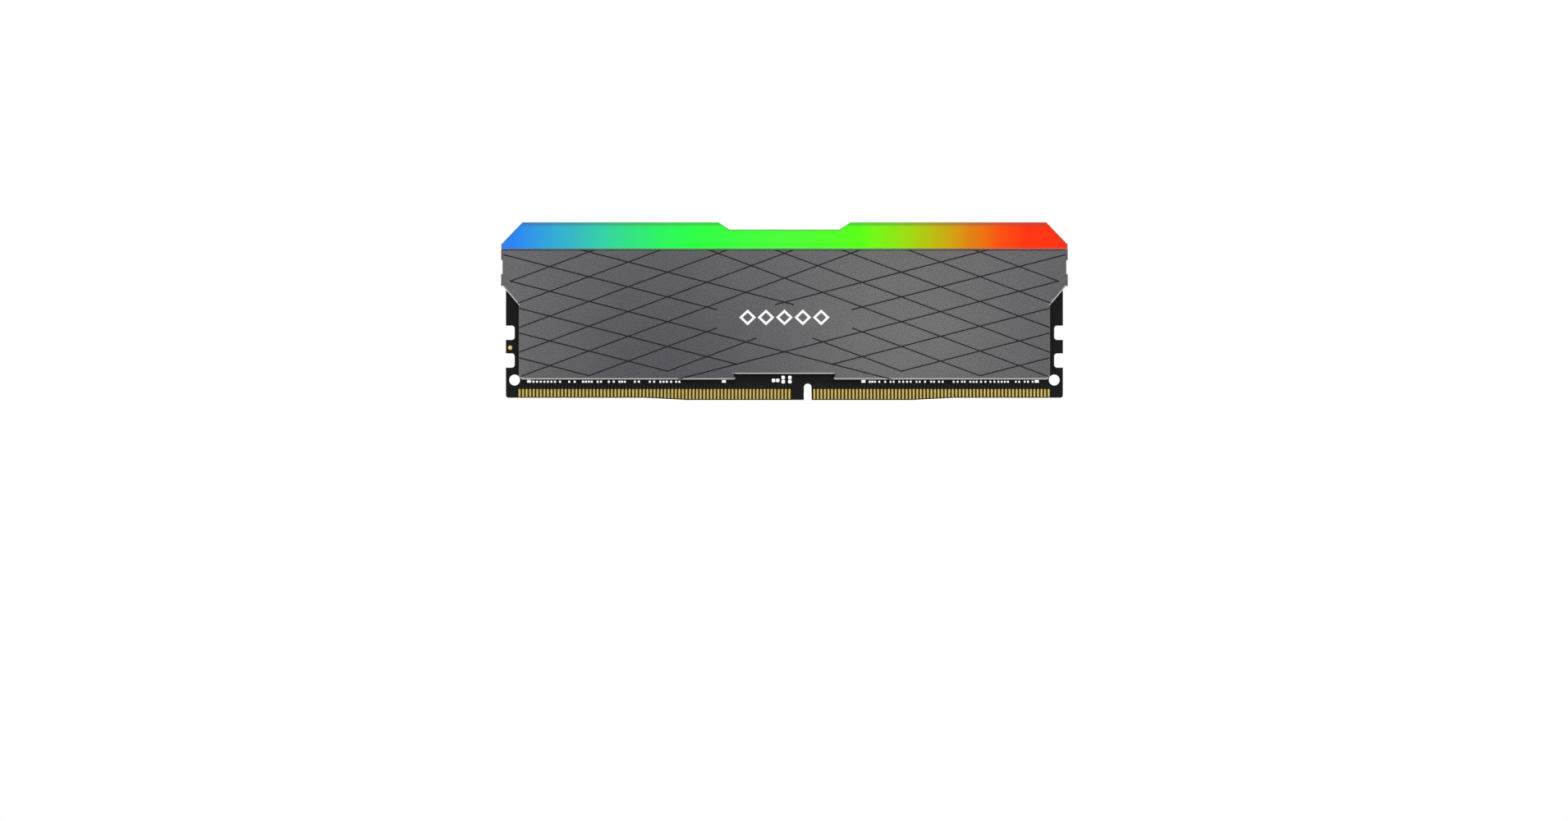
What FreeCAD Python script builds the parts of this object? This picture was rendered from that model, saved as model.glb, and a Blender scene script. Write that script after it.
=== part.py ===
import FreeCAD, Part
import os

import Sketcher
from FreeCAD import Placement, Rotation, Vector

# Memory module: a 288-pin circuit board between two heat spreaders, with a light bar on top.
# The frame is in millimetres. X runs along the module, -Y is its front, +Z is up, and the origin
# is midway between the faces, under the middle of the board, at the height of the contact edge.

doc = FreeCAD.newDocument("memory_module")

# Driving dimensions: the name each one is used by, its value, and what it is.
DIMENSIONS = [
    ("board_width", 133.35, "circuit board, end to end"),
    ("board_height", 31.25, "circuit board, contact edge to top edge"),
    ("board_thickness", 1.4, "circuit board"),
    ("corner_cut", 0.4, "cut at the lower corners of the board"),
    ("bow_height", 0.5, "how much higher the ends of the contact edge are"),
    ("bow_centre", 3.575, "middle of the low stretch of the contact edge"),
    ("bow_flat_half", 26.9, "half of the low stretch"),
    ("bow_outer_half", 37.1, "half of the low stretch with its two slopes"),
    ("edge_bevel", 0.25, "lead-in bevel along the contact edge"),
    ("key_centre", 5.575, "keying notch, from the middle of the board"),
    ("key_width", 1.8, "keying notch"),
    ("key_top", 3.9, "upper end of the keying notch"),
    ("key_radius", 0.85, "rounding of the keying notch's upper end"),
    ("latch_depth", 2.1, "latch notches, from the end of the board"),
    ("latch_opening", 3.4, "latch notches, up and down"),
    ("latch_low", 9.45, "middle of the lower latch notch"),
    ("latch_high", 16.1, "middle of the upper latch notch"),
    ("latch_radius", 0.7, "rounding of the latch notches' inner corners"),
    ("tooling_half_span", 64.6, "tooling holes, from the middle of the board"),
    ("tooling_level", 4.78, "tooling holes, up from the contact edge"),
    ("tooling_radius", 1.3, "tooling holes"),
    ("via_across", 65.65, "test via, from the middle of the board"),
    ("via_level", 12.55, "test via, up from the contact edge"),
    ("via_bore_radius", 0.15, "test via"),
    ("via_barrel_radius", 0.3, "plated barrel of the test via"),
    ("via_ring_radius", 0.5, "ring round the test via, on both faces"),
    ("plating", 0.05, "thickness of contacts, rings and tinned pads"),
    ("contact_pitch", 0.85, "contacts"),
    ("contact_width", 0.6, "contacts"),
    ("contact_top", 2.6, "upper end of the contacts"),
    ("contact_inset", 0.25, "bare board below a contact"),
    ("first_contact", -63.325, "leftmost contact"),
    ("first_after_key", 7.225, "first contact to the right of the keying notch"),
    ("chip_width", 7.5, "memory chip, across"),
    ("chip_height", 11.0, "memory chip, up and down"),
    ("chip_thickness", 0.95, "memory chip without its solder balls"),
    ("chip_level", 15.5, "middle of the memory chips"),
    ("chip_first", 9.5, "memory chip nearest the middle of the board"),
    ("chip_pitch", 14.0, "memory chips"),
    ("dot_radius", 0.4, "dimple that marks a package's first pin"),
    ("dot_depth", 0.06, "dimple that marks a package's first pin"),
    ("ball_pitch", 0.8, "solder balls"),
    ("ball_radius", 0.25, "solder balls"),
    ("ball_standoff", 0.25, "gap that the solder balls bridge"),
    ("spd_width", 2.0, "configuration memory chip"),
    ("spd_height", 3.0, "configuration memory chip"),
    ("spd_thickness", 0.75, "configuration memory chip"),
    ("spd_level", 12.5, "middle of the configuration memory chip"),
    ("controller_size", 4.0, "lighting controller, square"),
    ("controller_thickness", 0.85, "lighting controller"),
    ("controller_level", 26.0, "middle of the lighting controller"),
    ("led_width", 4.0, "side-firing LED, along the board"),
    ("led_depth", 1.4, "side-firing LED, up and down the board"),
    ("led_height", 1.5, "side-firing LED, out from the board"),
    ("led_level", 30.45, "middle of the LEDs"),
    ("led_pitch", 16.0, "LEDs"),
    ("lens_width", 3.0, "clear filling of an LED"),
    ("lens_height", 0.9, "clear filling of an LED, out from the board"),
    ("lens_depth", 0.5, "clear filling of an LED"),
    ("resistor_foot", 4.16, "lower ends of the small parts above the contacts"),
    ("resistor_length", 1.3, "resistor with its solder"),
    ("resistor_width", 0.46, "resistor"),
    ("network_length", 1.2, "smaller resistor with its solder"),
    ("network_width", 0.4, "smaller resistor"),
    ("network_end", 0.42, "tinned end of a smaller resistor"),
    ("bulk_length", 1.6, "capacitor with its solder"),
    ("bulk_width", 0.95, "capacitor"),
    ("bulk_end", 0.62, "tinned end of a capacitor"),
    ("resistor_end", 0.44, "tinned end of a resistor"),
    ("end_height", 0.35, "tinned ends of the small parts, out from the board"),
    ("body_height", 0.3, "bodies of the small parts, out from the board"),
    ("capacitor_low", 11.8, "middle of the lower capacitors between the chips"),
    ("capacitor_high", 18.2, "middle of the upper capacitors between the chips"),
    ("bare_pad", 0.8, "bare tinned pad, square"),
    ("bare_pad_radius", 0.2, "rounding of a bare tinned pad's corners"),
    ("spreader_inner", 2.4, "inner face of a heat spreader, from the middle of the board"),
    ("spreader_thickness", 1.2, "heat spreader"),
    ("spreader_top", 36.0, "upper edge of the heat spreaders"),
    ("spreader_bottom", 4.95, "lower edge of the heat spreaders"),
    ("spreader_bevel", 0.25, "bevel round a heat spreader's outer face"),
    ("ear_half", 67.4, "half-width of the upper part of a heat spreader"),
    ("ear_bottom", 27.3, "lower end of the ears"),
    ("waist_half", 63.5, "half-width of the lower part of a heat spreader"),
    ("waist_top", 22.7, "upper end of the lower part"),
    ("waist_cut", 0.75, "cut at the lower corners of a heat spreader"),
    ("relief_half", 12.2, "half-width of the relief in the lower edge, at its top"),
    ("relief_top", 6.27, "top of the relief in the lower edge"),
    ("relief_waist", 11.7, "half-width of the relief where it is narrowest"),
    ("relief_waist_level", 5.3, "height at which the relief is narrowest"),
    ("relief_mouth", 12.0, "half-width of the relief at the lower edge"),
    ("flange_outer_half", 67.75, "outer face of the side flanges"),
    ("flange_inner_half", 66.85, "inner face of the side flanges"),
    ("window_bottom", 30.1, "window in the side flanges"),
    ("window_top", 33.5, "window in the side flanges"),
    ("tongue_clearance", 0.3, "gap round a locking tongue in its window"),
    ("tongue_reach", 1.8, "how far a locking tongue passes the parting plane"),
    ("groove_width", 0.3, "decorative grooves, measured up and down"),
    ("groove_depth", 0.18, "decorative grooves"),
    ("groove_spacing", 5.92, "decorative grooves, measured up and down"),
    ("steep_slope", 0.373, "rise per millimetre of the steeper grooves"),
    ("steep_first", 52.83, "height at which the first steeper groove meets the middle"),
    ("gentle_slope", 0.2575, "fall per millimetre of the gentler grooves"),
    ("gentle_first", 23.37, "height at which the first gentler groove meets the middle"),
    ("pad_half", 57.0, "half-width of the thermal pads"),
    ("pad_bottom", 9.0, "lower edge of the thermal pads"),
    ("pad_top", 22.5, "upper edge of the thermal pads"),
    ("front_pad_thickness", 0.5, "thermal pad between chips and front heat spreader"),
    ("bar_half", 67.7, "half-width of the light bar"),
    ("bar_shoulder", 37.2, "upper end of the light bar's upright ends"),
    ("bar_top", 42.5, "top of the light bar"),
    ("bar_top_half", 62.6, "half-width of the light bar's top"),
    ("saddle_top_half", 15.8, "half-width of the saddle in the light bar, at its top"),
    ("saddle_floor_half", 13.15, "half-width of the saddle's floor"),
    ("saddle_floor", 40.76, "floor of the saddle"),
    ("bar_top_bevel", 1.0, "bevel along the light bar's two raised top edges"),
    ("bar_edge_bevel", 0.3, "bevel along the light bar's other outer edges"),
    ("blade_half", 64.0, "half-width of the blade under the light bar"),
    ("blade_bottom", 31.6, "lower edge of the blade"),
    ("blade_thickness", 4.4, "blade that goes down between the heat spreaders"),
    ("tape_thickness", 0.2, "tape between the blade and a heat spreader"),
    ("tape_bottom", 32.2, "lower edge of the tape"),
    ("tape_top", 35.4, "upper edge of the tape"),
    ("tape_half", 61.0, "half-width of the tape"),
    ("mark_thickness", 0.03, "printed mark"),
    ("mark_level", 19.75, "middle of the printed mark"),
    ("mark_pitch", 4.4, "lozenges of the printed mark"),
    ("mark_half_width", 2.0, "half-width of a lozenge"),
    ("mark_half_height", 1.9, "half-height of a lozenge"),
    ("mark_clear", 0.6, "clear middle of a lozenge, as a share of its size"),
]

# Counts that set how many pieces a loop makes.
CONTACTS_BEFORE_KEY = 77
CONTACTS_AFTER_KEY = 67
LOZENGES = 5
CHIPS_PER_SIDE = 4
LED_COUNT = 8
BALL_COLUMNS = (-4, -3, -2, 2, 3, 4)
BALL_ROWS = range(-6, 7)

# Rows of small parts above the contacts: first part, how many, and their pitch.
RESISTOR_ROWS = [
    (-60.05, 7, 0.86),
    (-53.7, 1, 0),
    (-51.5, 1, 0),
    (-50.2, 1, 0),
    (-48.2, 4, 0.7),
    (-44.7, 2, 0.8),
    (-42.0, 2, 1.15),
    (-39.5, 3, 0.65),
    (-35.8, 2, 1.0),
    (-32.2, 2, 1.0),
    (-29.7, 3, 0.78),
    (-27.1, 1, 0),
    (-25.9, 2, 0.75),
    (20.4, 2, 0.65),
]
NETWORK_ROWS = [
    (21.7, 2, 1.0),
    (24.1, 1, 0),
    (25.4, 2, 0.75),
    (27.5, 4, 0.91),
    (31.6, 2, 0.78),
    (33.65, 1, 0),
    (35.1, 2, 0.72),
    (37.0, 2, 0.87),
    (40.5, 2, 0.95),
    (42.5, 2, 0.65),
    (44.5, 3, 0.75),
    (47.05, 2, 1.05),
    (49.3, 3, 0.95),
    (52.0, 3, 0.75),
    (55.4, 2, 0.8),
    (57.5, 2, 0.8),
    (59.4, 1, 0),
]
BULK_CAPACITORS_AT = (-61.1, -14.5, 18.9, 60.4)
BARE_PADS_AT = [(-2.6, 4.7), (-1.6, 4.7), (-0.3, 4.4), (-0.3, 5.4), (1.3, 4.4), (1.3, 5.4)]

# Where each groove of the left half starts and ends, across, from the top one down. Where it says
# None, the groove runs off the edge of the plate.
STEEP_GROOVES = [
    (-65.65, None),
    (None, None),
    (None, None),
    (None, None),
    (None, None),
    (-46.7, -16.2),
    (-28.2, -6.7),
]
GENTLE_GROOVES = [
    (None, 2.3),
    (-67.2, -16.0),
    (-65.65, None),
    (None, -11.2),
    (None, -28.0),
    (None, -46.7),
]

# How far a cut runs past the edge of what it cuts, and what counts as the same length.
PAST_EDGE = 1.0
SAME = 1e-4


def make_sheet():
    """The spreadsheet that holds the driving dimensions, one named cell each."""
    cells = doc.addObject("Spreadsheet::Sheet", "Size")
    for row, (alias, value, meaning) in enumerate(DIMENSIONS, 1):
        cells.set(f"A{row}", meaning)
        cells.set(f"B{row}", str(value))
        cells.setAlias(f"B{row}", alias)
    doc.recompute()
    return cells


sheet = make_sheet()


def size(expression):
    """The value of an expression in the sheet's names, such as Size.board_width / 2."""
    return float(sheet.evalExpression(str(expression)))


# ---------------------------------------------------------------- sketches and features


def new_body(label):
    """An empty body that carries the sub-part's name."""
    body = doc.addObject("PartDesign::Body", label)
    body.Label = label
    return body


def new_sketch(body, role, name, offset="0"):
    """A sketch on one of the body's own origin planes, moved out along the plane's normal."""
    sketch = body.newObject("Sketcher::SketchObject", name)
    plane = next(feature for feature in body.Origin.OriginFeatures if feature.Role == role)
    sketch.AttachmentSupport = [(plane, "")]
    sketch.MapMode = "FlatFace"
    sketch.setExpression("AttachmentOffset.Base.z", offset)
    return sketch


def hold(sketch, kind, geometry, point, expression):
    """Ties one coordinate of a point to an expression, measured from the sketch's origin."""
    constraint = Sketcher.Constraint(kind, -1, 1, geometry, point, size(expression))
    number = sketch.addConstraint(constraint)
    sketch.setExpression(f"Constraints[{number}]", expression)


def draw_outline(sketch, corners):
    """A closed outline, each corner given by two expressions."""
    first = sketch.GeometryCount
    count = len(corners)
    points = [Vector(size(across), size(up), 0) for across, up in corners]
    sides = [Part.LineSegment(points[n], points[(n + 1) % count]) for n in range(count)]
    sketch.addGeometry(sides)
    joins = []
    for n in range(count):
        joins.append(Sketcher.Constraint("Coincident", first + n, 2, first + (n + 1) % count, 1))
    sketch.addConstraint(joins)
    for n, (across, up) in enumerate(corners):
        hold(sketch, "DistanceX", first + n, 1, across)
        hold(sketch, "DistanceY", first + n, 1, up)


def draw_box(sketch, left, right, bottom, top):
    """A rectangle from four expressions."""
    draw_outline(sketch, [(left, bottom), (right, bottom), (right, top), (left, top)])


def draw_circle(sketch, across, up, radius):
    """A circle from three expressions."""
    middle = Vector(size(across), size(up), 0)
    number = sketch.addGeometry(Part.Circle(middle, Vector(0, 0, 1), size(radius)))
    hold(sketch, "DistanceX", number, 3, across)
    hold(sketch, "DistanceY", number, 3, up)
    bound = sketch.addConstraint(Sketcher.Constraint("Radius", number, size(radius)))
    sketch.setExpression(f"Constraints[{bound}]", radius)


def pad(body, sketch, name, length, symmetric=False, backwards=False):
    """Material along the sketch's normal, or half of it each way."""
    feature = body.newObject("PartDesign::Pad", name)
    feature.Profile = sketch
    feature.setExpression("Length", length)
    if symmetric:
        feature.SideType = "Symmetric"
    feature.Reversed = backwards
    doc.recompute()
    return feature


def pocket(body, sketch, name, length, symmetric=False):
    """A cut against the sketch's normal, or half of it each way, that must remove something."""
    before = body.Shape.Volume
    feature = body.newObject("PartDesign::Pocket", name)
    feature.Profile = sketch
    feature.setExpression("Length", length)
    if symmetric:
        feature.SideType = "Symmetric"
    doc.recompute()
    if feature.Shape.Volume > before - SAME:
        raise RuntimeError(f"{body.Label}: {name} removes nothing")
    return feature


def edge_names(feature, wanted):
    """The names of the edges whose middle and direction pass a test."""
    names = []
    for number, edge in enumerate(feature.Shape.Edges, 1):
        first, last = edge.firstVertex().Point, edge.lastVertex().Point
        if wanted((first + last) * 0.5, last - first):
            names.append(f"Edge{number}")
    return names


def soften(body, kind, base, name, wanted, amount):
    """A fillet or a chamfer on the edges that pass a test."""
    feature = body.newObject(f"PartDesign::{kind}", name)
    feature.Base = (base, edge_names(base, wanted))
    feature.setExpression("Radius" if kind == "Fillet" else "Size", amount)
    doc.recompute()
    return feature


def near(value, target):
    """Whether two lengths are the same but for rounding."""
    return abs(value - target) < SAME


def upright(direction):
    """Whether an edge runs through the board, from face to face."""
    return near(direction.x, 0) and near(direction.z, 0)


def solid_group(label, solids):
    """One sub-part made of separate equal solids."""
    feature = doc.addObject("Part::Feature", label)
    feature.Label = label
    feature.Shape = Part.makeCompound(solids)
    return feature


def block(across, up, width, height, near_y, far_y):
    """A rectangular solid by its middle across and up, and its two depths."""
    corner = Vector(across - width / 2, min(near_y, far_y), up - height / 2)
    return Part.makeBox(width, abs(far_y - near_y), height, corner)


def places(rows):
    """The places of all the parts in rows of (first, count, pitch)."""
    return [first + n * pitch for first, count, pitch in rows for n in range(count)]


# ---------------------------------------------------------------- circuit board


def circuit_board():
    """The board, with its bowed contact edge, keying notch, latch notches and holes."""
    body = new_body("circuit_board")
    end = "Size.board_width / 2"
    cut = f"{end} - Size.corner_cut"
    outline = new_sketch(body, "XZ_Plane", "board_outline")
    draw_outline(
        outline,
        [
            (f"-{end}", "Size.board_height"),
            (f"-{end}", "Size.bow_height + Size.corner_cut"),
            (f"-({cut})", "Size.bow_height"),
            ("Size.bow_centre - Size.bow_outer_half", "Size.bow_height"),
            ("Size.bow_centre - Size.bow_flat_half", "0"),
            ("Size.bow_centre + Size.bow_flat_half", "0"),
            ("Size.bow_centre + Size.bow_outer_half", "Size.bow_height"),
            (cut, "Size.bow_height"),
            (end, "Size.bow_height + Size.corner_cut"),
            (end, "Size.board_height"),
        ],
    )
    blank = pad(body, outline, "board_blank", "Size.board_thickness", symmetric=True)

    def along_contact_edge(middle, direction):
        """The two long edges of the contact edge, but not those through the board."""
        return middle.z < size("Size.bow_height") + SAME and not upright(direction)

    soften(body, "Chamfer", blank, "lead_in", along_contact_edge, "Size.edge_bevel")

    through = "2 * Size.board_thickness"
    key = new_sketch(body, "XZ_Plane", "key_outline")
    key_half = "Size.key_width / 2"
    left, right = f"Size.key_centre - {key_half}", f"Size.key_centre + {key_half}"
    draw_box(key, left, right, f"-{PAST_EDGE}", "Size.key_top")
    key_notch = pocket(body, key, "key_notch", through, symmetric=True)

    def key_corner(middle, direction):
        """The upper corners of the keying notch."""
        return upright(direction) and near(middle.z, size("Size.key_top"))

    soften(body, "Fillet", key_notch, "key_rounding", key_corner, "Size.key_radius")

    latches = new_sketch(body, "XZ_Plane", "latch_outlines")
    inner = f"{end} - Size.latch_depth"
    outer = f"{end} + {PAST_EDGE}"
    for level in ("Size.latch_low", "Size.latch_high"):
        bottom = f"{level} - Size.latch_opening / 2"
        top = f"{level} + Size.latch_opening / 2"
        draw_box(latches, f"-({outer})", f"-({inner})", bottom, top)
        draw_box(latches, inner, outer, bottom, top)
    latch_notches = pocket(body, latches, "latch_notches", through, symmetric=True)

    def latch_corner(middle, direction):
        """The inner corners of the latch notches."""
        return upright(direction) and near(abs(middle.x), size(inner))

    soften(body, "Fillet", latch_notches, "latch_rounding", latch_corner, "Size.latch_radius")

    holes = new_sketch(body, "XZ_Plane", "hole_outlines")
    for across in ("-Size.tooling_half_span", "Size.tooling_half_span"):
        draw_circle(holes, across, "Size.tooling_level", "Size.tooling_radius")
    draw_circle(holes, "-Size.via_across", "Size.via_level", "Size.via_barrel_radius")
    pocket(body, holes, "holes", through, symmetric=True)
    return body


def contact_edge_height(across):
    """The height of the board's bowed lower edge at a place across."""
    past_flat = abs(across - size("Size.bow_centre")) - size("Size.bow_flat_half")
    slope_run = size("Size.bow_outer_half - Size.bow_flat_half")
    return size("Size.bow_height") * min(max(past_flat / slope_run, 0.0), 1.0)


def contacts(label, side):
    """The gold contacts of one face of the board; side is -1 in front and 1 behind."""
    pitch, top = size("Size.contact_pitch"), size("Size.contact_top")
    before_key = [size("Size.first_contact") + n * pitch for n in range(CONTACTS_BEFORE_KEY)]
    after_key = [size("Size.first_after_key") + n * pitch for n in range(CONTACTS_AFTER_KEY)]
    face = side * size("Size.board_thickness / 2")
    outer = face + side * size("Size.plating")
    width = size("Size.contact_width")
    solids = []
    for across in before_key + after_key:
        bottom = contact_edge_height(across) + size("Size.contact_inset")
        solids.append(block(across, (top + bottom) / 2, width, top - bottom, face, outer))
    return solid_group(label, solids)


def test_via():
    """The plated hole near the left end of the board, with a ring on each face."""
    ring = doc.addObject("Part::Cylinder", "via_rings")
    ring.setExpression("Radius", "Size.via_ring_radius")
    ring.setExpression("Height", "Size.board_thickness + 2 * Size.plating")
    gap = doc.addObject("Part::Cylinder", "via_between_rings")
    gap.setExpression("Radius", "2 * Size.via_ring_radius")
    gap.setExpression("Height", "Size.board_thickness")
    gap.setExpression("Placement.Base.z", "Size.plating")
    rings = doc.addObject("Part::Cut", "via_two_rings")
    rings.Base, rings.Tool = ring, gap
    barrel = doc.addObject("Part::Cylinder", "via_barrel")
    barrel.setExpression("Radius", "Size.via_barrel_radius")
    barrel.setExpression("Height", "Size.board_thickness + 2 * Size.plating")
    plug = doc.addObject("Part::Fuse", "via_plug")
    plug.Base, plug.Tool = rings, barrel
    bore = doc.addObject("Part::Cylinder", "via_bore")
    bore.setExpression("Radius", "Size.via_bore_radius")
    bore.setExpression("Height", "Size.board_thickness + 2 * Size.plating")
    via = doc.addObject("Part::Cut", "test_via")
    via.Label = "test_via"
    via.Base, via.Tool = plug, bore
    front = size("-Size.board_thickness / 2 - Size.plating")
    place = Vector(size("-Size.via_across"), front, size("Size.via_level"))
    via.Placement = Placement(place, Rotation(Vector(1, 0, 0), -90))
    return via


# ---------------------------------------------------------------- parts soldered to the board


def chip_package(label, width, height, thickness, standoff, across, level):
    """A flat chip package on the front of the board, with a dimple at its first pin."""
    body = new_body(label)
    back = f"Size.board_thickness / 2 + {standoff}"
    outline = new_sketch(body, "XZ_Plane", f"{label}_outline", back)
    draw_box(outline, f"-({width} / 2)", f"{width} / 2", f"-({height} / 2)", f"{height} / 2")
    pad(body, outline, f"{label}_moulding", thickness)
    dimple = new_sketch(body, "XZ_Plane", f"{label}_dimple_outline", f"{back} + {thickness}")
    reach = "2 * Size.dot_radius"
    draw_circle(dimple, f"{reach} - {width} / 2", f"{height} / 2 - {reach}", "Size.dot_radius")
    pocket(body, dimple, f"{label}_dimple", "Size.dot_depth")
    body.setExpression("Placement.Base.x", across)
    body.setExpression("Placement.Base.z", level)
    return body


def memory_chip_places():
    """Expressions for where the memory chips are, from left to right."""
    outwards = [f"(Size.chip_first + {n} * Size.chip_pitch)" for n in range(CHIPS_PER_SIDE)]
    return [f"-{place}" for place in reversed(outwards)] + outwards


def memory_chips():
    """The eight memory chips."""
    chips = []
    for number, across in enumerate(memory_chip_places(), 1):
        chip = chip_package(
            f"memory_chip_{number}",
            "Size.chip_width",
            "Size.chip_height",
            "Size.chip_thickness",
            "Size.ball_standoff",
            across,
            "Size.chip_level",
        )
        chips.append(chip)
    return chips


def solder_balls():
    """The solder balls under all the memory chips, squashed flat against chip and board."""
    radius, pitch = size("Size.ball_radius"), size("Size.ball_pitch")
    middle = -size("Size.board_thickness / 2 + Size.ball_standoff / 2")
    # The flats lie half the standoff from the ball's middle, which is 30 degrees of latitude.
    ball = Part.makeSphere(radius, Vector(0, 0, 0), Vector(0, 1, 0), -30, 30, 360)
    solids = []
    for place in memory_chip_places():
        for column in BALL_COLUMNS:
            for row in BALL_ROWS:
                copy = ball.copy()
                across = size(place) + column * pitch
                copy.translate(Vector(across, middle, size("Size.chip_level") + row * pitch))
                solids.append(copy)
    return solid_group("memory_chip_solder_balls", solids)


def led_place(number):
    """An expression for where an LED is, counted from the left."""
    return f"{number - (LED_COUNT - 1) / 2} * Size.led_pitch"


def rgb_leds():
    """Side-firing LED housings along the board's top edge, each with a cavity that opens upwards."""
    leds = []
    for number in range(LED_COUNT):
        label = f"rgb_led_{number + 1}"
        body = new_body(label)
        outline = new_sketch(body, "XZ_Plane", f"{label}_outline", "Size.board_thickness / 2")
        half, tall = "Size.led_width / 2", "Size.led_depth / 2"
        draw_box(outline, f"-{half}", half, f"-{tall}", tall)
        pad(body, outline, f"{label}_housing", "Size.led_height")
        cavity = new_sketch(body, "XY_Plane", f"{label}_cavity_outline", tall)
        middle = "Size.board_thickness / 2 + Size.led_height / 2"
        draw_box(
            cavity,
            "-Size.lens_width / 2",
            "Size.lens_width / 2",
            f"-({middle}) - Size.lens_height / 2",
            f"-({middle}) + Size.lens_height / 2",
        )
        pocket(body, cavity, f"{label}_cavity", "Size.lens_depth")
        body.setExpression("Placement.Base.x", led_place(number))
        body.setExpression("Placement.Base.z", "Size.led_level")
        leds.append(body)
    return leds


def led_lenses():
    """The clear filling in each LED's cavity."""
    middle = -size("Size.board_thickness / 2 + Size.led_height / 2")
    half = size("Size.lens_height / 2")
    top = size("Size.led_level + Size.led_depth / 2")
    depth = size("Size.lens_depth")
    width = size("Size.lens_width")
    solids = []
    for number in range(LED_COUNT):
        across = size(led_place(number))
        solids.append(block(across, top - depth / 2, width, depth, middle - half, middle + half))
    return solid_group("rgb_led_lenses", solids)


def small_parts(label, ends_label, sizes_and_places):
    """Two-ended parts on the front of the board, as one group of bodies and one of tinned ends.

    Each entry gives the length, width and end length as expressions, the level of the lower end,
    and the places across.
    """
    face = -size("Size.board_thickness / 2")
    end_depth = face - size("Size.end_height")
    body_depth = face - size("Size.body_height")
    bodies, ends = [], []
    for length, width, end, foot, places_across in sizes_and_places:
        middle = foot + size(length) / 2
        inner = size(f"{length} - 2 * {end}")
        for across in places_across:
            bodies.append(block(across, middle, size(width), inner, face, body_depth))
            for side in (-1, 1):
                level = middle + side * (inner + size(end)) / 2
                ends.append(block(across, level, size(width), size(end), face, end_depth))
    return [solid_group(label, bodies), solid_group(ends_label, ends)]


def bare_pads():
    """Tinned pads at the middle of the board with nothing soldered to them."""
    face = -size("Size.board_thickness / 2")
    side = size("Size.bare_pad")
    solids = []
    for across, up in BARE_PADS_AT:
        solid = block(across, up, side, side, face, face - size("Size.plating"))
        corners = [edge for edge in solid.Edges if upright(edge.tangentAt(0))]
        solids.append(solid.makeFillet(size("Size.bare_pad_radius"), corners))
    return solid_group("bare_solder_pads", solids)


# ---------------------------------------------------------------- heat spreaders


def spreader_outline():
    """The corners of a heat spreader, anticlockwise from its upper left one."""
    left = [
        ("Size.ear_half", "Size.spreader_top"),
        ("Size.ear_half", "Size.ear_bottom"),
        ("Size.waist_half", "Size.waist_top"),
        ("Size.waist_half", "Size.spreader_bottom + Size.waist_cut"),
        ("Size.waist_half - Size.waist_cut", "Size.spreader_bottom"),
        ("Size.relief_mouth", "Size.spreader_bottom"),
        ("Size.relief_waist", "Size.relief_waist_level"),
        ("Size.relief_half", "Size.relief_top"),
    ]
    right = list(reversed(left))
    return [(f"-({across})", up) for across, up in left] + right


def draw_grooves(sketch, grooves, slope, first):
    """Narrow slanted strips, one under another; slope and first are expressions."""
    edge = f"Size.ear_half + {PAST_EDGE}"
    for number, (start, end) in enumerate(grooves):
        level = f"({first} - {number} * Size.groove_spacing)"
        top_crossing = f"(Size.spreader_top + {PAST_EDGE} - {level}) / ({slope})"
        bottom_crossing = f"(Size.spreader_bottom - {PAST_EDGE} - {level}) / ({slope})"
        rises = size(slope) > 0
        reaches_top_first = not rises and size(top_crossing) > -size(edge)
        if start is None:
            start = top_crossing if reaches_top_first else f"-({edge})"
        if end is None:
            end = top_crossing if rises else bottom_crossing
        start, end = str(start), str(end)
        corners = []
        for across, side in ((start, "-"), (end, "-"), (end, "+"), (start, "+")):
            corners.append((across, f"{level} + ({slope}) * ({across}) {side} Size.groove_width / 2"))
        draw_outline(sketch, corners)


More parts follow.
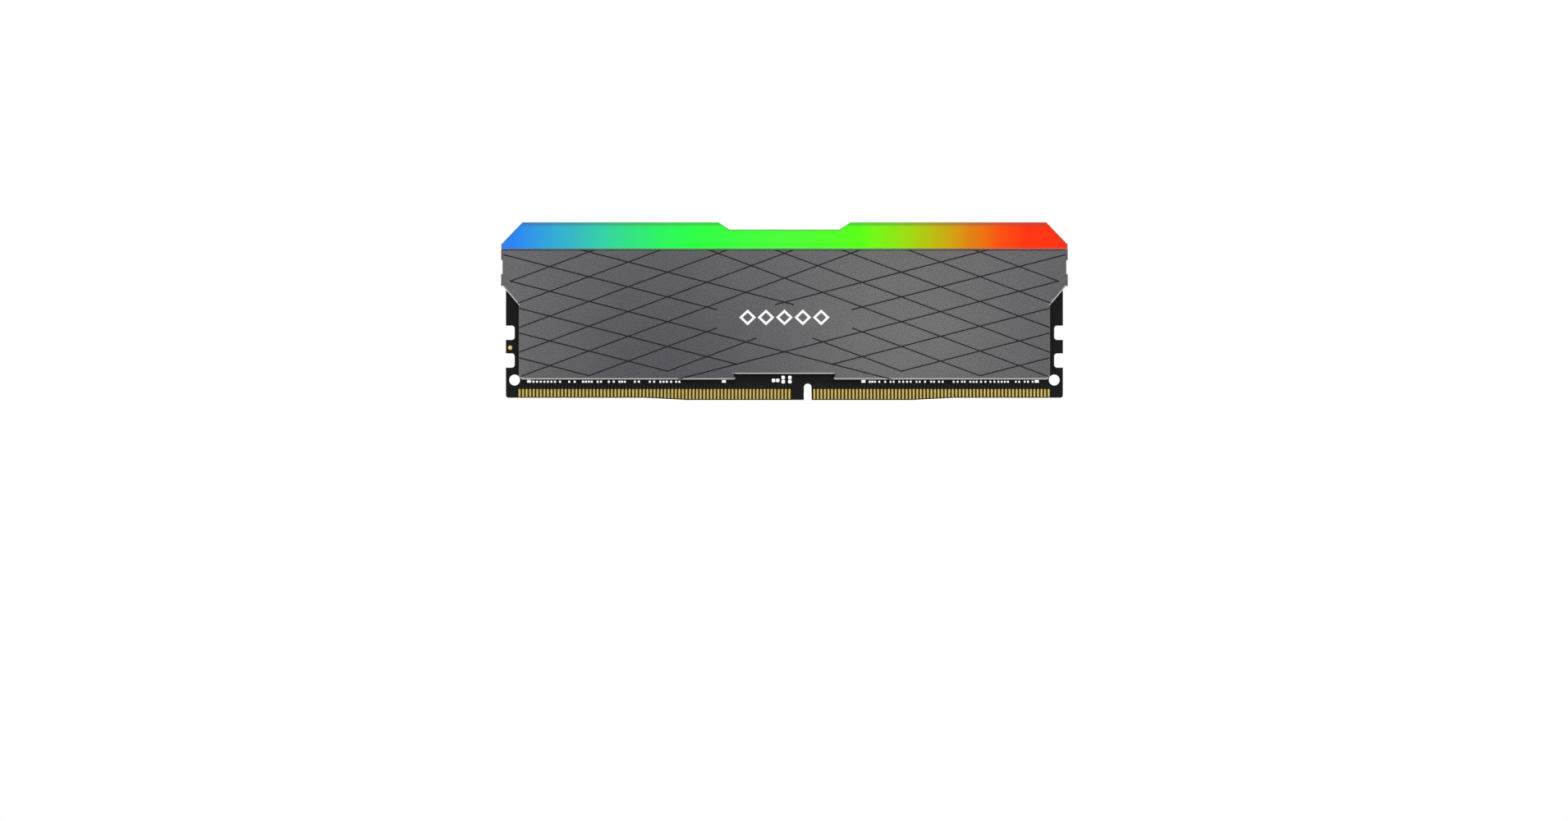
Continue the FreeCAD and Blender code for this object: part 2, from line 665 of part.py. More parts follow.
def heat_spreader(label, with_tongues):
    """A bevelled plate with side flanges that meet the other plate's, and fine crossing grooves.

    It is drawn as the front one. Each flange has a window, and the plate with tongues locks into
    the windows of the other.
    """
    body = new_body(label)
    outline = new_sketch(body, "XZ_Plane", f"{label}_outline", "Size.spreader_inner")
    draw_outline(outline, spreader_outline())
    plate = pad(body, outline, f"{label}_plate", "Size.spreader_thickness")
    outer = "Size.spreader_inner + Size.spreader_thickness"

    def round_outer_face(middle, direction):
        """The edges of the outer face."""
        return near(middle.y, -size(outer)) and near(direction.y, 0)

    soften(body, "Chamfer", plate, f"{label}_bevel", round_outer_face, "Size.spreader_bevel")

    flanges = new_sketch(body, "XZ_Plane", f"{label}_flange_outlines")
    for low, high in (("ear_bottom", "window_bottom"), ("window_top", "spreader_top")):
        inner_x, outer_x = "Size.flange_inner_half", "Size.flange_outer_half"
        draw_box(flanges, f"-{outer_x}", f"-{inner_x}", f"Size.{low}", f"Size.{high}")
        draw_box(flanges, inner_x, outer_x, f"Size.{low}", f"Size.{high}")
    pad(body, flanges, f"{label}_flanges", f"{outer} - Size.spreader_bevel")

    if with_tongues:
        tongues = new_sketch(body, "XZ_Plane", f"{label}_tongue_outlines", "-Size.tongue_reach")
        low = "Size.window_bottom + Size.tongue_clearance"
        high = "Size.window_top - Size.tongue_clearance"
        draw_box(tongues, "-Size.ear_half", "-Size.flange_inner_half", low, high)
        draw_box(tongues, "Size.flange_inner_half", "Size.ear_half", low, high)
        reach = f"Size.tongue_reach + {outer} - Size.spreader_bevel"
        pad(body, tongues, f"{label}_tongues", reach)

    steep = new_sketch(body, "XZ_Plane", f"{label}_steep_lines", outer)
    draw_grooves(steep, STEEP_GROOVES, "Size.steep_slope", "Size.steep_first")
    steep_cut = pocket(body, steep, f"{label}_steep_grooves", "Size.groove_depth")
    gentle = new_sketch(body, "XZ_Plane", f"{label}_gentle_lines", outer)
    draw_grooves(gentle, GENTLE_GROOVES, "-Size.gentle_slope", "Size.gentle_first")
    gentle_cut = pocket(body, gentle, f"{label}_gentle_grooves", "Size.groove_depth")

    before = body.Shape.Volume
    mirrored = body.newObject("PartDesign::Mirrored", f"{label}_right_half_grooves")
    mirrored.Originals = [steep_cut, gentle_cut]
    middle = next(f for f in body.Origin.OriginFeatures if f.Role == "YZ_Plane")
    mirrored.MirrorPlane = (middle, [""])
    body.Tip = mirrored
    # Merging the crossing grooves' floors into one face would lose some of the crossings.
    for cut in (steep_cut, gentle_cut, mirrored):
        cut.Refine = False
    doc.recompute()
    if body.Shape.Volume > before - SAME:
        raise RuntimeError(f"{label}: the mirrored grooves remove nothing")
    return body


def heat_spreaders():
    """The front heat spreader and the rear one, which is turned half round."""
    front = heat_spreader("front_heat_spreader", with_tongues=False)
    rear = heat_spreader("rear_heat_spreader", with_tongues=True)
    rear.Placement = Placement(Vector(0, 0, 0), Rotation(Vector(0, 0, 1), 180))
    return [front, rear]


def sheet_piece(label, half_width, bottom, top, thickness, depth):
    """A thin rectangular piece, such as a pad or a tape, with its front face at a depth."""
    piece = doc.addObject("Part::Box", label)
    piece.Label = label
    piece.setExpression("Length", f"2 * {half_width}")
    piece.setExpression("Width", thickness)
    piece.setExpression("Height", f"{top} - {bottom}")
    piece.setExpression("Placement.Base.x", f"-{half_width}")
    piece.setExpression("Placement.Base.y", depth)
    piece.setExpression("Placement.Base.z", bottom)
    return piece


def thermal_pads():
    """A thin pad over the memory chips and a thick one between the board and the rear plate."""
    sides = ("Size.pad_half", "Size.pad_bottom", "Size.pad_top")
    front_depth = "-Size.spreader_inner"
    rear_thickness = "Size.spreader_inner - Size.board_thickness / 2"
    return [
        sheet_piece("front_thermal_pad", *sides, "Size.front_pad_thickness", front_depth),
        sheet_piece("rear_thermal_pad", *sides, rear_thickness, "Size.board_thickness / 2"),
    ]


def lozenge(across, half_width, half_height):
    """A flat lozenge on the front face of the front plate."""
    face = -size("Size.spreader_inner + Size.spreader_thickness")
    level = size("Size.mark_level")
    corners = [
        Vector(across - half_width, face, level),
        Vector(across, face, level - half_height),
        Vector(across + half_width, face, level),
        Vector(across, face, level + half_height),
    ]
    return Part.Face(Part.makePolygon(corners + corners[:1]))


def printed_mark():
    """A row of plain open lozenges printed on the front plate."""
    wide, tall = size("Size.mark_half_width"), size("Size.mark_half_height")
    clear = size("Size.mark_clear")
    solids = []
    for number in range(LOZENGES):
        across = (number - (LOZENGES - 1) / 2) * size("Size.mark_pitch")
        ring = lozenge(across, wide, tall).cut(lozenge(across, clear * wide, clear * tall))
        solids += ring.extrude(Vector(0, -size("Size.mark_thickness"), 0)).Solids
    return solid_group("printed_mark", solids)


# ---------------------------------------------------------------- light bar


def light_bar():
    """The translucent bar: a bevelled head on top of the plates and a blade between them."""
    body = new_body("light_bar_diffuser")
    half = [
        ("Size.bar_half", "Size.spreader_top"),
        ("Size.bar_half", "Size.bar_shoulder"),
        ("Size.bar_top_half", "Size.bar_top"),
        ("Size.saddle_top_half", "Size.bar_top"),
        ("Size.saddle_floor_half", "Size.saddle_floor"),
    ]
    outline = new_sketch(body, "XZ_Plane", "bar_outline")
    draw_outline(outline, [(f"-{across}", up) for across, up in half] + list(reversed(half)))
    depth = "2 * (Size.spreader_inner + Size.spreader_thickness)"
    head = pad(body, outline, "bar_head", depth, symmetric=True)
    outer = size(depth) / 2

    def on_face(middle, direction):
        """The edges round the front and rear faces."""
        return near(abs(middle.y), outer) and near(direction.y, 0)

    def raised_top(middle, direction):
        """The long edges of the two raised tops."""
        return on_face(middle, direction) and near(middle.z, size("Size.bar_top"))

    bevelled = soften(body, "Chamfer", head, "top_bevel", raised_top, "Size.bar_top_bevel")
    soften(body, "Chamfer", bevelled, "edge_bevel", on_face, "Size.bar_edge_bevel")

    blade = new_sketch(body, "XZ_Plane", "blade_outline")
    draw_box(blade, "-Size.blade_half", "Size.blade_half", "Size.blade_bottom", "Size.spreader_top")
    pad(body, blade, "bar_blade", "Size.blade_thickness", symmetric=True)
    return body


def tapes():
    """The two strips of tape that hold the light bar's blade between the plates."""
    sides = ("Size.tape_half", "Size.tape_bottom", "Size.tape_top")
    outwards = "Size.blade_thickness / 2"
    front_depth = f"-{outwards} - Size.tape_thickness"
    return [
        sheet_piece("front_light_bar_tape", *sides, "Size.tape_thickness", front_depth),
        sheet_piece("rear_light_bar_tape", *sides, "Size.tape_thickness", outwards),
    ]


# ---------------------------------------------------------------- the whole module


def soldered_parts():
    """The resistors above the contacts, and the capacitors there and between the chips."""
    resistor = ("Size.resistor_length", "Size.resistor_width", "Size.resistor_end")
    network = ("Size.network_length", "Size.network_width", "Size.network_end")
    bulk = ("Size.bulk_length", "Size.bulk_width", "Size.bulk_end")
    foot = size("Size.resistor_foot")
    resistors = [
        (*resistor, foot, places(RESISTOR_ROWS)),
        (*network, foot, places(NETWORK_ROWS)),
    ]
    gaps = []
    for number in range(CHIPS_PER_SIDE - 1):
        middle = size(f"Size.chip_first + ({number} + 0.5) * Size.chip_pitch")
        gaps += [-middle, middle]
    capacitors = [(*bulk, foot, BULK_CAPACITORS_AT)]
    for level in ("Size.capacitor_low", "Size.capacitor_high"):
        capacitors.append((*resistor, size(f"{level} - Size.resistor_length / 2"), gaps))
    return [
        *small_parts("resistors", "resistor_ends", resistors),
        *small_parts("capacitors", "capacitor_ends", capacitors),
    ]


def build():
    """Every sub-part of the module."""
    small_chips = [
        chip_package(
            "configuration_memory",
            "Size.spd_width",
            "Size.spd_height",
            "Size.spd_thickness",
            "0",
            "0",
            "Size.spd_level",
        ),
        chip_package(
            "lighting_controller",
            "Size.controller_size",
            "Size.controller_size",
            "Size.controller_thickness",
            "0",
            "0",
            "Size.controller_level",
        ),
    ]
    return [
        circuit_board(),
        contacts("front_contacts", -1),
        contacts("rear_contacts", 1),
        test_via(),
        *memory_chips(),
        solder_balls(),
        *small_chips,
        *rgb_leds(),
        led_lenses(),
        *soldered_parts(),
        bare_pads(),
        *thermal_pads(),
        *heat_spreaders(),
        printed_mark(),
        light_bar(),
        *tapes(),
    ]


def main():
    parts = build()
    doc.recompute()
    for item in doc.Objects:
        if {"Invalid", "Error"} & set(item.State):
            raise RuntimeError(f"{item.Label} failed: {item.State}")
    os.makedirs("parts", exist_ok=True)
    for part in parts:
        if part.Shape.isNull() or not part.Shape.isValid():
            raise RuntimeError(f"{part.Label} has no valid shape")
        part.Shape.exportStep(f"parts/{part.Label}.step")


main()
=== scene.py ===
import math

import bmesh
import bpy
from mathutils import Matrix, Vector


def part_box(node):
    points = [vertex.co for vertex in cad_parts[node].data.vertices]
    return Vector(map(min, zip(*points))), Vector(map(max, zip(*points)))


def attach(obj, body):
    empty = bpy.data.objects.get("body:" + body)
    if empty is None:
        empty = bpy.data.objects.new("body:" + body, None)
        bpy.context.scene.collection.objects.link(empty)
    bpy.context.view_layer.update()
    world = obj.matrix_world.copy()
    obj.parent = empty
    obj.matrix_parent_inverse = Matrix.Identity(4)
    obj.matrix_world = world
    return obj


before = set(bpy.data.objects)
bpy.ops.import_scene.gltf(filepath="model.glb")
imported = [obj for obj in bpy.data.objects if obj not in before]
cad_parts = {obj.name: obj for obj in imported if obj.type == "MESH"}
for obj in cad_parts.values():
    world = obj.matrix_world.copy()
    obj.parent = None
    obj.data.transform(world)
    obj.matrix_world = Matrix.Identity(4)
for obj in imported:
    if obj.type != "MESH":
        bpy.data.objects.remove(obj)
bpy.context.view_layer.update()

# Looks for the memory module. Blender works in metres and the module is small, so the sizes below
# are in millimetres, which MM turns into metres. X runs along the module, -Y is its front, +Z is up.
MM = 0.001
BODY = "root"

# Where the CAD nodes reach to: half depths, half the bar's length, and a height.
BOARD_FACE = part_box("circuit_board")[1].y / MM
SPREADER_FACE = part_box("rear_heat_spreader")[1].y / MM
BAR_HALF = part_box("light_bar_diffuser")[1].x / MM
CONTACT_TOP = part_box("front_contacts")[1].z / MM

# The contacts of one face lie in two groups. Each group is given as the place of its first contact
# and its count.
CONTACT_PITCH = 0.85
CONTACT_WIDTH = 0.6
CONTACTS_BEFORE_KEY = 77
CONTACTS_AFTER_KEY = 67
END_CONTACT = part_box("front_contacts")[1].x / MM - CONTACT_WIDTH / 2
FIRST_AFTER_KEY = END_CONTACT - (CONTACTS_AFTER_KEY - 1) * CONTACT_PITCH
CONTACT_GROUPS = ((-END_CONTACT, CONTACTS_BEFORE_KEY), (FIRST_AFTER_KEY, CONTACTS_AFTER_KEY))

# Colours of the light along the bar, as (place along the module, sRGB colour).
RAINBOW = (
    (-65, (42, 128, 240)),
    (-50, (52, 185, 192)),
    (-38, (49, 220, 134)),
    (-30, (43, 241, 95)),
    (-21, (43, 253, 66)),
    (0, (75, 252, 55)),
    (9, (80, 253, 40)),
    (18, (88, 255, 18)),
    (26, (135, 231, 12)),
    (44, (221, 130, 10)),
    (52, (251, 76, 8)),
    (58, (252, 51, 12)),
)

# How far the heat spreaders' tone and painted lighting gradient take to go from light to dark and
# back.
TONE_AND_PAINTED_LIGHT_LENGTH = 116


def linear(red, green, blue):
    """An sRGB colour with parts from 0 to 255, as the linear colour that shaders take."""
    parts = []
    for value in (red, green, blue):
        share = value / 255
        parts.append(share / 12.92 if share <= 0.04045 else ((share + 0.055) / 1.055) ** 2.4)
    return (*parts, 1.0)


class Look:
    """A procedural material. Each helper adds a node and returns the socket with its result.
    Places and sizes are in millimetres, in the module's own frame."""

    def __init__(self, name, **settings):
        self.material = bpy.data.materials.new(name)
        self.material.use_nodes = True
        self.tree = self.material.node_tree
        self.shader = self.tree.nodes["Principled BSDF"]
        for setting, value in settings.items():
            self.shader.inputs[setting.replace("_", " ")].default_value = value
        coordinates = self.add("ShaderNodeTexCoord").outputs
        scaled = self.add(
            "ShaderNodeVectorMath",
            {0: coordinates["Object"], "Scale": 1 / MM},
            operation="SCALE",
        )
        self.place = scaled.outputs["Vector"]
        self.x, self.y, self.z = self.add("ShaderNodeSeparateXYZ", {0: self.place}).outputs
        way = self.add("ShaderNodeSeparateXYZ", {0: coordinates["Normal"]}).outputs
        self.faces_y = self.math("ABSOLUTE", way["Y"])
        self.faces_up = way["Z"]
        self.depth = self.math("ABSOLUTE", self.y)

    def add(self, kind, inputs=None, **properties):
        """A node with its properties set and its inputs set or linked."""
        node = self.tree.nodes.new(kind)
        for name, value in properties.items():
            setattr(node, name, value)
        for name, value in (inputs or {}).items():
            self.feed(node.inputs[name], value)
        return node

    def feed(self, socket, value):
        """Links socket to another node's socket, or sets it to a plain value."""
        if isinstance(value, bpy.types.NodeSocket):
            self.tree.links.new(value, socket)
        else:
            socket.default_value = value

    def set(self, name, value):
        self.feed(self.shader.inputs[name], value)

    def math(self, operation, *values):
        return self.add("ShaderNodeMath", dict(enumerate(values)), operation=operation).outputs[0]

    def rise(self, value, start, end, low=0.0, high=1.0):
        """Goes from low to high while value goes from start to end, and stays level outside."""
        ends = {"From Min": start, "From Max": end, "To Min": low, "To Max": high}
        return self.add("ShaderNodeMapRange", {"Value": value, **ends}).outputs["Result"]

    def band(self, value, low, high, soft):
        """1 while value is between low and high, falling to 0 over soft outside them."""
        above = self.rise(value, low - soft, low)
        below = self.rise(value, high + soft, high)
        return self.math("MULTIPLY", above, below)

    def both(self, *shares):
        """The product of two or more shares."""
        result = shares[0]
        for share in shares[1:]:
            result = self.math("MULTIPLY", result, share)
        return result

    def mix(self, share, under, over, blend="MIX"):
        """Colour under, covered by colour over as far as share says."""
        colours = {0: share, 6: under, 7: over}
        return self.add("ShaderNodeMix", colours, data_type="RGBA", blend_type=blend).outputs[2]

    def spread(self, noise, low=0.0, high=1.0):
        """Noise stretched so that most of it lies between low and high."""
        return self.rise(noise, 0.3, 0.7, low, high)

    def wave(self, value, length):
        """Swings between -1 and 1, once over each length of value."""
        return self.math("SINE", self.math("MULTIPLY", value, 2 * math.pi / length))

    def on_bevels(self):
        """1 on faces at 45 degrees to the front and the rear, where the normal's Y part is 0.71."""
        return self.band(self.faces_y, 0.6, 0.8, 0.08)

    def faces_down(self):
        """1 on faces that look down, at 45 degrees or more."""
        return self.rise(self.faces_up, -0.2, -0.6)

    def dim(self, colour, strength):
        """The colour times strength, which is 1 where it stays the same."""
        grey = self.add("ShaderNodeCombineXYZ", {0: strength, 1: strength, 2: strength}).outputs[0]
        return self.mix(1.0, colour, grey, blend="MULTIPLY")

    def noise(self, size, detail=2.0, roughness=0.5, stretch=(1, 1, 1)):
        """Noise about 0.5, with features about size millimetres across, times stretch."""
        scale = tuple(1 / (size * factor) for factor in stretch)
        point = self.add("ShaderNodeVectorMath", {0: self.place, 1: scale}, operation="MULTIPLY")
        inputs = {"Vector": point.outputs[0], "Scale": 1.0, "Detail": detail, "Roughness": roughness}
        return self.add("ShaderNodeTexNoise", inputs).outputs["Fac"]

    def ramp(self, value, stops):
        """A colour for value, from stops of (position, linear colour)."""
        node = self.add("ShaderNodeValToRGB", {"Fac": value})
        elements = node.color_ramp.elements
        while len(elements) < len(stops):
            elements.new(0.5)
        for element, (position, colour) in zip(elements, stops):
            element.position = position
            element.color = colour
        return node.outputs["Color"]

    def relief(self, height, deep):
        """Bumps where height goes from 0 to 1 over deep millimetres."""
        node = self.add("ShaderNodeBump", {"Height": height, "Distance": deep * MM})
        self.set("Normal", node.outputs["Normal"])


def dress(look, *names):
    """Gives the CAD nodes of these names the look."""
    for name in names:
        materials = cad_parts[name].data.materials
        materials.clear()
        materials.append(look.material)


def numbered(stem, count):
    return [f"{stem}_{number}" for number in range(1, count + 1)]


def rainbow(look):
    """The colour of the light at each place along the module."""
    share = look.rise(look.x, -BAR_HALF, BAR_HALF)
    stops = [((place / BAR_HALF + 1) / 2, linear(*colour)) for place, colour in RAINBOW]
    return look.ramp(share, stops)


def blasted_aluminium():
    """Grey anodised sheet with a sandblasted face, dark grooves and cut bevels, with a painted
    highlight on the lower bevels and a painted lighting gradient along the sheet.
    """
    look = Look("blasted_aluminium", Metallic=1.0)
    grit = look.noise(0.1, detail=1.0)
    speck = look.noise(0.24, detail=0.0)
    broad = look.noise(9.0, detail=3.0)

    # The anodised tone drifts along the sheet, darker and bluer on one side and lighter on the
    # other. The bluer tint is the sheet's own colour; the darker and lighter sides are a painted
    # lighting gradient. The drift is weaker near the top.
    weak_level, full_level = 38, 17
    strength = look.rise(look.z, weak_level, full_level, 0.4, 1.0)
    tone_and_painted_light = look.math("MULTIPLY", look.wave(look.x, TONE_AND_PAINTED_LIGHT_LENGTH), strength)
    tone_and_painted_light = look.math("ADD", tone_and_painted_light, look.spread(broad, -0.12, 0.12))
    # Painted light: the lightness of this mix is a painted lighting gradient along the sheet, and
    # the blue tint is real.
    colour = look.mix(look.rise(tone_and_painted_light, -1, 1), linear(80, 79, 84), linear(101, 101, 101))
    colour = look.dim(colour, look.rise(grit, 0.35, 0.65, 0.78, 1.22))
    colour = look.dim(colour, look.rise(speck, 0.35, 0.65, 0.8, 1.2))

    # The bevels are cut bare, a lighter grey than the face. The lower ones get a far lighter colour,
    # a painted highlight.
    on_bevel = look.on_bevels()
    groove_floor, groove_mouth = SPREADER_FACE - 0.22, SPREADER_FACE - 0.03
    blur = 0.02
    below_face = look.band(look.depth, groove_floor, groove_mouth, blur)
    in_groove = look.both(below_face, look.math("SUBTRACT", 1.0, on_bevel))
    colour = look.mix(in_groove, colour, linear(34, 34, 36))
    # Painted highlight: bevels that face down get a far lighter grey than the others.
    bare_metal_and_painted_highlight = look.mix(look.faces_down(), linear(112, 112, 114), linear(202, 202, 204))
    look.set("Base Color", look.mix(on_bevel, colour, bare_metal_and_painted_highlight))

    roughness = look.spread(grit, 0.36, 0.5)
    smoother = look.math("MULTIPLY", on_bevel, 0.2)
    look.set("Roughness", look.math("SUBTRACT", roughness, smoother))
    look.relief(grit, 0.022)
    return look


def lit_diffuser():
    """Frosted plastic that the LEDs light from inside, in a rainbow along its length. The rainbow is
    also painted into its base colour, and painted shade dims its bevels, top and ends.
    """
    look = Look("lit_diffuser", Roughness=0.42, IOR=1.46)
    look.set("Specular IOR Level", 0.04)
    look.set("Emission Strength", 0.64)
    colour = rainbow(look)
    cloud = look.noise(5.0, detail=2.0, stretch=(1, 1, 2))

    # Painted shade: the bevels glow less than the flat sides, the lower ones most, and the top and
    # the ends glow a little less too. The bevels, the lower ones most, also turn from the painted
    # rainbow base colour towards a plain grey.
    bevel_painted_shade, under_painted_shade, turned_painted_shade = 0.46, 0.25, 0.08
    on_bevel = look.on_bevels()
    turned = look.rise(look.faces_y, 0.9, 0.5)
    under = look.both(on_bevel, look.faces_down())
    # Painted shade: the glow is cut on the bevels, more on the lower ones, and a little on the top
    # and the ends.
    glow_with_painted_shade = look.math("SUBTRACT", 1.0, look.math("MULTIPLY", on_bevel, bevel_painted_shade))
    glow_with_painted_shade = look.math("SUBTRACT", glow_with_painted_shade, look.math("MULTIPLY", under, under_painted_shade))
    glow_with_painted_shade = look.math("SUBTRACT", glow_with_painted_shade, look.math("MULTIPLY", turned, turned_painted_shade))
    glow_with_painted_shade = look.both(glow_with_painted_shade, look.spread(cloud, 0.96, 1.04))
    look.set("Emission Color", look.dim(colour, glow_with_painted_shade))
    grey_bevel = look.math("MULTIPLY", on_bevel, 0.1)
    grey_under = look.math("MULTIPLY", under, 0.25)
    greyness = look.math("ADD", grey_bevel, grey_under)
    # Painted light: the base colour is the LEDs' rainbow at a third of its strength, so their glow
    # is painted into the colour too. It turns grey where greyness says.
    look.set("Base Color", look.mix(greyness, look.dim(colour, 0.33), linear(160, 160, 160)))
    look.relief(look.noise(0.6, detail=1.0), 0.004)
    return look


def covered_copper():
    """Copper tracks that show faintly through the black lacquer over them."""
    look = Look("covered_copper")
    look.set("Specular IOR Level", 0.2)
    weave = look.noise(0.5, detail=2.0)
    look.set("Base Color", look.mix(weave, linear(18, 18, 19), linear(26, 26, 27)))
    look.set("Roughness", look.spread(weave, 0.34, 0.44))
    return look


def solder_mask():
    """Black lacquered board with bare laminate at its cut edges and between the contacts."""
    layer_pitch = 0.2
    clearance, blur = 0.1, 0.02
    look = Look("solder_mask")
    look.set("Specular IOR Level", 0.1)
    weave = look.noise(0.5, detail=2.0)
    mask = look.mix(weave, linear(7, 7, 8), linear(14, 14, 14))

    # Glass-fibre layers show as fine lines along the cut edges.
    layers = look.wave(look.y, layer_pitch)
    laminate = look.mix(look.rise(layers, -1, 1), linear(38, 33, 20), linear(66, 58, 38))
    cut_edge = look.rise(look.faces_y, 0.9, 0.8)

    # The lacquer stops just outside each group of contacts.
    lacquer_edge = CONTACT_TOP + clearance
    low = look.rise(look.z, lacquer_edge + blur, lacquer_edge - blur)
    margin = CONTACT_WIDTH / 2 + clearance
    stretches = []
    for first, count in CONTACT_GROUPS:
        last = first + (count - 1) * CONTACT_PITCH
        stretches.append(look.band(look.x, first - margin, last + margin, blur))
    bare = look.both(low, look.math("ADD", *stretches))
    colour = look.mix(bare, mask, linear(34, 25, 7))
    look.set("Base Color", look.mix(cut_edge, colour, laminate))
    look.set("Roughness", look.spread(weave, 0.38, 0.5))
    look.relief(weave, 0.006)
    return look


def gold_plate(name):
    """Electroplated gold with faint patches, and its wipe marks as a share."""
    look = Look(name, Metallic=1.0)
    wipe = look.noise(0.06, detail=2.0, stretch=(1, 1, 40))
    patch = look.noise(3.0, detail=2.0)
    colour = look.mix(patch, linear(204, 182, 94), linear(218, 200, 118))
    colour = look.mix(look.rise(wipe, 0.5, 0.8, 0.0, 0.35), colour, linear(178, 148, 66))
    look.set("Roughness", look.spread(wipe, 0.2, 0.32))
    return look, colour, wipe


def contact_gold():
    """Hard gold contacts, slightly crowned, with painted shade on the right of each and a socket's
    wipe marks.
    """
    look, colour, wipe = gold_plate("contact_gold")

    # Place across a contact: 0 at its middle, and half its width at its right edge.
    half = CONTACT_WIDTH / 2
    steps = look.math("DIVIDE", look.math("ADD", look.x, END_CONTACT), CONTACT_PITCH)
    past = look.math("SUBTRACT", steps, look.math("ROUND", steps))
    across = look.math("MULTIPLY", past, CONTACT_PITCH)
    crown = look.math("SUBTRACT", 1.0, look.math("POWER", look.math("DIVIDE", across, half), 2.0))
    # Painted shade: the right side of each contact is darkened towards a deep gold-brown.
    right_painted_shade = look.rise(across, -0.3 * half, 0.6 * half, 0.0, 0.95)
    look.set("Base Color", look.mix(right_painted_shade, colour, linear(62, 46, 6)))
    look.relief(look.math("ADD", crown, look.math("MULTIPLY", wipe, 0.1)), 0.03)
    return look


def via_gold():
    """Gold plating round the test via, duller than the contacts."""
    look, colour, wipe = gold_plate("via_gold")
    look.set("Base Color", look.dim(colour, 0.75))
    look.relief(wipe, 0.003)
    return look


def bright_tin():
    """Reflowed tin, slightly grainy."""
    look = Look("bright_tin", Metallic=0.8)
    grain = look.noise(0.12, detail=3.0)
    look.set("Base Color", look.mix(grain, linear(244, 244, 246), linear(255, 255, 255)))
    look.set("Roughness", look.spread(grain, 0.22, 0.4))
    look.relief(grain, 0.01)
    return look


def moulded_epoxy():
    """Charcoal chip packages with the fine grain of their mould."""
    look = Look("moulded_epoxy")
    grain = look.noise(0.09, detail=3.0, roughness=0.6)
    broad = look.noise(4.0)
    colour = look.mix(broad, linear(34, 34, 36), linear(44, 44, 46))
    look.set("Base Color", look.mix(look.rise(grain, 0.6, 0.8), colour, linear(62, 62, 65)))
    look.set("Roughness", look.spread(grain, 0.45, 0.62))
    look.relief(grain, 0.008)
    return look


def glazed_ceramic(name, dark, light):
    """Body of a chip resistor or capacitor."""
    look = Look(name)
    grain = look.noise(0.1, detail=3.0)
    look.set("Base Color", look.mix(grain, linear(*dark), linear(*light)))
    look.set("Roughness", look.spread(grain, 0.3, 0.5))
    look.relief(grain, 0.005)
    return look


def led_housing():
    """Matt white plastic."""
    look = Look("led_housing")
    grain = look.noise(0.2, detail=3.0)
    look.set("Base Color", look.mix(grain, linear(222, 222, 216), linear(240, 240, 236)))
    look.set("Roughness", look.spread(grain, 0.4, 0.55))
    look.relief(grain, 0.006)
    return look


def led_filling():
    """Clear filling of the LEDs, lit in the colour that the bar has there."""
    look = Look("led_filling", Roughness=0.15)
    look.set("Emission Strength", 4.0)
    phosphor = look.noise(0.15, detail=2.0)
    colour = rainbow(look)
    whiter = look.spread(phosphor, 0.0, 0.3)
    look.set("Emission Color", look.mix(whiter, colour, linear(255, 255, 255)))
    look.set("Base Color", look.mix(0.5, colour, linear(250, 250, 240)))
    return look


def silicone_pad():
    """Soft grey-blue thermal pad with a woven liner's print in its surface."""
    liner_pitch = 0.5
    look = Look("silicone_pad")
    grain = look.noise(0.25, detail=4.0, roughness=0.7)
    look.set("Base Color", look.mix(grain, linear(120, 132, 146), linear(160, 170, 182)))
    look.set("Roughness", look.spread(grain, 0.65, 0.85))
    weave_x = look.wave(look.x, liner_pitch)
    weave_z = look.wave(look.z, liner_pitch)
    weave = look.rise(look.math("MULTIPLY", weave_x, weave_z), -1, 1)
    look.relief(look.math("ADD", weave, look.math("MULTIPLY", grain, 0.6)), 0.03)
    return look


def foam_tape():
    """Black double-sided foam tape."""
    look = Look("foam_tape")
    cells = look.noise(0.15, detail=4.0, roughness=0.7)
    look.set("Base Color", look.mix(cells, linear(24, 24, 25), linear(48, 48, 50)))
    look.set("Roughness", look.spread(cells, 0.7, 0.9))
    look.relief(cells, 0.03)
    return look


def white_ink():
    """Screen-printed ink that follows the blasted face under it."""
    look = Look("white_ink")
    grain = look.noise(0.32, detail=3.0, roughness=0.65)
    cover = look.rise(grain, 0.3, 0.6)
    look.set("Base Color", look.mix(cover, linear(222, 222, 222), linear(246, 246, 246)))
    look.set("Roughness", look.spread(grain, 0.4, 0.55))
    look.relief(grain, 0.008)
    return look


def dress_module():
    tin = bright_tin()
    epoxy = moulded_epoxy()
    dress(solder_mask(), "circuit_board")
    dress(contact_gold(), "front_contacts", "rear_contacts")
    dress(via_gold(), "test_via")
    dress(tin, "resistor_ends", "capacitor_ends", "bare_solder_pads", "memory_chip_solder_balls")
    dress(epoxy, "configuration_memory", "lighting_controller", *numbered("memory_chip", 8))
    dress(glazed_ceramic("resistor_glaze", (20, 20, 22), (34, 34, 38)), "resistors")
    dress(glazed_ceramic("capacitor_ceramic", (128, 98, 70), (158, 126, 92)), "capacitors")
    dress(led_housing(), *numbered("rgb_led", 8))
    dress(led_filling(), "rgb_led_lenses")
    dress(silicone_pad(), "front_thermal_pad", "rear_thermal_pad")
    dress(blasted_aluminium(), "front_heat_spreader", "rear_heat_spreader")
    dress(white_ink(), "printed_mark")
    dress(lit_diffuser(), "light_bar_diffuser")
    dress(foam_tape(), "front_light_bar_tape", "rear_light_bar_tape")


def new_object(name, mesh):
    piece = bpy.data.objects.new(name, mesh)
    bpy.context.scene.collection.objects.link(piece)
    return piece


